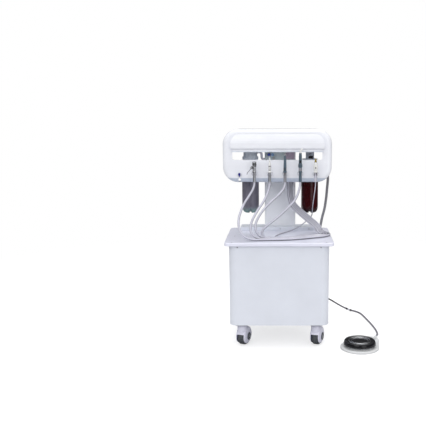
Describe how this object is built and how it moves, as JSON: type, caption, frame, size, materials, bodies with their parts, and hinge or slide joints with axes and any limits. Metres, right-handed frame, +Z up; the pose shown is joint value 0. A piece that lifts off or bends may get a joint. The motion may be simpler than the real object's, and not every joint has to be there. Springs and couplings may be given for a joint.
{
  "type": "portable dental unit",
  "caption": "Wheeled dental unit: closed cabinet with a tray top, column and instrument head with clips, hoses and bottles, and a round foot control on a hose.",
  "frame": {"origin": "on the floor, under the centre of the cabinet", "axes": "+Z up, +Y to the rear where the column stands, +X to the right of someone who faces the front"},
  "size_m": [0.694, 0.6219, 0.915],
  "materials": {
    "white_enamel": "smooth white powder coat",
    "column_enamel": "smooth pale grey powder coat",
    "tray_plastic": "satin moulded plastic",
    "head_plastic": "glossy white moulding",
    "zinc_steel": "zinc plated steel",
    "grey_plastic": "satin grey moulding",
    "clear_hose": "soft pale grey tubing",
    "grey_hose": "soft grey tubing",
    "black_plastic": "fine textured black",
    "plated_brass": "bright plated metal",
    "tank_enamel": "smooth enamel",
    "cast_body": "painted casting",
    "bare_aluminium": "die cast",
    "pedal_base": "satin pale moulding",
    "pedal_disc": "polished dark disc",
    "blue_plastic": "glossy blue",
    "clear_bottle": "clear smoky bottle",
    "water": "still water",
    "waste_bottle": "dark red-brown translucent bottle",
    "red_plastic": "glossy red rocker",
    "white_handpiece": "smooth white",
    "slate_handpiece": "slate blue-grey",
    "amber_guide": "amber olive tip",
    "caster_hood": "white moulding",
    "wheel_tyre": "dark grey tread"
  },
  "bodies": {
    "root": {"base_pan": "white_enamel", "cabinet_shell": "white_enamel", "rear_cover": "white_enamel", "tray_top": "tray_plastic", "plinth": "white_enamel", "column": "column_enamel", "panel_screws": "zinc_steel", "caster_plates": "zinc_steel", "head_fascia": "head_plastic", "head_upper_panel": "head_plastic", "head_bracket": "zinc_steel", "head_rear_cover": "head_plastic", "control_block": "grey_plastic", "instrument_clips": "head_plastic", "toggle_body": "head_plastic", "water_bottle_cap": "grey_plastic", "water_line": "clear_hose", "waste_bottle_cap": "grey_plastic", "power_inlet": "black_plastic", "rear_fittings": "plated_brass", "air_tank": "tank_enamel", "compressor_motor": "cast_body", "compressor_heads": "bare_aluminium", "vacuum_pump": "bare_aluminium", "foot_base": "pedal_base", "syringe_hose": "clear_hose", "motor_hose": "clear_hose", "scaler_hose": "clear_hose", "suction_hose": "clear_hose", "curing_cable": "clear_hose", "umbilical_hose": "grey_hose", "foot_hose": "grey_hose"},
    "toggle": {"toggle_lever": "blue_plastic"},
    "knob": {"flow_knob": "blue_plastic"},
    "water_bottle": {"water_bottle": "clear_bottle", "water_fill": "water"},
    "waste_bottle": {"waste_bottle": "waste_bottle"},
    "rocker": {"rocker_switch": "red_plastic"},
    "pedal": {"foot_disc": "pedal_disc"},
    "syringe": {"syringe_body": "plated_brass"},
    "syringe_nozzle": {"syringe_nozzle": "plated_brass"},
    "air_button": {"syringe_air_button": "black_plastic"},
    "water_button": {"syringe_water_button": "black_plastic"},
    "motor": {"air_motor": "white_handpiece"},
    "scaler": {"scaler_handle": "slate_handpiece", "scaler_tip": "plated_brass"},
    "suction": {"suction_handle": "slate_handpiece", "suction_tip": "white_handpiece"},
    "suction_slide": {"suction_slide": "black_plastic"},
    "curing_light": {"curing_body": "white_handpiece", "curing_guide": "amber_guide"},
    "curing_button": {"curing_button": "black_plastic"},
    "caster_fl": {"caster_hood_fl": "caster_hood"},
    "wheel_fl": {"caster_wheel_fl": "wheel_tyre"},
    "caster_fr": {"caster_hood_fr": "caster_hood"},
    "wheel_fr": {"caster_wheel_fr": "wheel_tyre"},
    "caster_rl": {"caster_hood_rl": "caster_hood"},
    "wheel_rl": {"caster_wheel_rl": "wheel_tyre"},
    "caster_rr": {"caster_hood_rr": "caster_hood"},
    "wheel_rr": {"caster_wheel_rr": "wheel_tyre"}
  },
  "joints": [
    {"name": "caster_fl_swivel", "type": "hinge", "parent": "root", "child": "caster_fl", "pos_m": [-0.158, -0.155, 0.09], "axis": [0, 0, 1], "continuous": true},
    {"name": "wheel_fl_spin", "type": "hinge", "parent": "caster_fl", "child": "wheel_fl", "pos_m": [-0.15253, -0.13997, 0.0375], "axis": [0.9397, -0.342, 0], "continuous": true},
    {"name": "caster_fr_swivel", "type": "hinge", "parent": "root", "child": "caster_fr", "pos_m": [0.158, -0.155, 0.09], "axis": [0, 0, 1], "continuous": true},
    {"name": "wheel_fr_spin", "type": "hinge", "parent": "caster_fr", "child": "wheel_fr", "pos_m": [0.16347, -0.13997, 0.0375], "axis": [0.9397, -0.342, 0], "continuous": true},
    {"name": "caster_rl_swivel", "type": "hinge", "parent": "root", "child": "caster_rl", "pos_m": [-0.158, 0.155, 0.09], "axis": [0, 0, 1], "continuous": true},
    {"name": "wheel_rl_spin", "type": "hinge", "parent": "caster_rl", "child": "wheel_rl", "pos_m": [-0.15253, 0.17003, 0.0375], "axis": [0.9397, -0.342, 0], "continuous": true},
    {"name": "caster_rr_swivel", "type": "hinge", "parent": "root", "child": "caster_rr", "pos_m": [0.158, 0.155, 0.09], "axis": [0, 0, 1], "continuous": true},
    {"name": "wheel_rr_spin", "type": "hinge", "parent": "caster_rr", "child": "wheel_rr", "pos_m": [0.16347, 0.17003, 0.0375], "axis": [0.9397, -0.342, 0], "continuous": true},
    {"name": "syringe_lift", "type": "slide", "parent": "root", "child": "syringe", "axis": [0, 0, 1], "range_m": [0, 0.09]},
    {"name": "motor_lift", "type": "slide", "parent": "root", "child": "motor", "axis": [0, 0, 1], "range_m": [0, 0.09]},
    {"name": "scaler_lift", "type": "slide", "parent": "root", "child": "scaler", "axis": [0, 0, 1], "range_m": [0, 0.09]},
    {"name": "suction_lift", "type": "slide", "parent": "root", "child": "suction", "axis": [0, 0, 1], "range_m": [0, 0.09]},
    {"name": "curing_light_lift", "type": "slide", "parent": "root", "child": "curing_light", "axis": [0, 0, 1], "range_m": [0, 0.09]},
    {"name": "nozzle_turn", "type": "hinge", "parent": "syringe", "child": "syringe_nozzle", "pos_m": [-0.11445, -0.02741, 0.75431], "axis": [-0.6211, -0.4508, -0.6411], "continuous": true},
    {"name": "air_button_press", "type": "slide", "parent": "syringe", "child": "air_button", "axis": [0, 1, 0], "range_m": [0, 0.0015], "stiffness_N_per_m": 300, "springref_m": -0.001},
    {"name": "water_button_press", "type": "slide", "parent": "syringe", "child": "water_button", "axis": [0, 1, 0], "range_m": [0, 0.0015], "stiffness_N_per_m": 300, "springref_m": -0.001},
    {"name": "suction_slide_move", "type": "slide", "parent": "suction", "child": "suction_slide", "axis": [0, 0, 1], "range_m": [0, 0.012]},
    {"name": "curing_button_press", "type": "slide", "parent": "curing_light", "child": "curing_button", "axis": [0, 1, 0], "range_m": [0, 0.0015], "stiffness_N_per_m": 300, "springref_m": -0.001},
    {"name": "toggle_tilt", "type": "hinge", "parent": "root", "child": "toggle", "pos_m": [-0.173, 0.001, 0.718], "axis": [1, 0, 0], "range_deg": [-20, 20]},
    {"name": "knob_turn", "type": "hinge", "parent": "root", "child": "knob", "pos_m": [-0.046, 0.118, 0.801], "axis": [0, 1, 0], "range_deg": [-135, 135]},
    {"name": "rocker_tilt", "type": "hinge", "parent": "root", "child": "rocker", "pos_m": [-0.095, 0.191, 0.15], "axis": [1, 0, 0], "range_deg": [-10, 10]},
    {"name": "water_bottle_turn", "type": "hinge", "parent": "root", "child": "water_bottle", "pos_m": [-0.13, 0.11, 0.785], "axis": [0, 0, 1], "continuous": true},
    {"name": "waste_bottle_turn", "type": "hinge", "parent": "root", "child": "waste_bottle", "pos_m": [0.138, 0.11, 0.785], "axis": [0, 0, 1], "continuous": true},
    {"name": "pedal_press", "type": "slide", "parent": "root", "child": "pedal", "axis": [0, 0, -1], "range_m": [0, 0.005], "stiffness_N_per_m": 2500, "springref_m": -0.003}
  ]
}
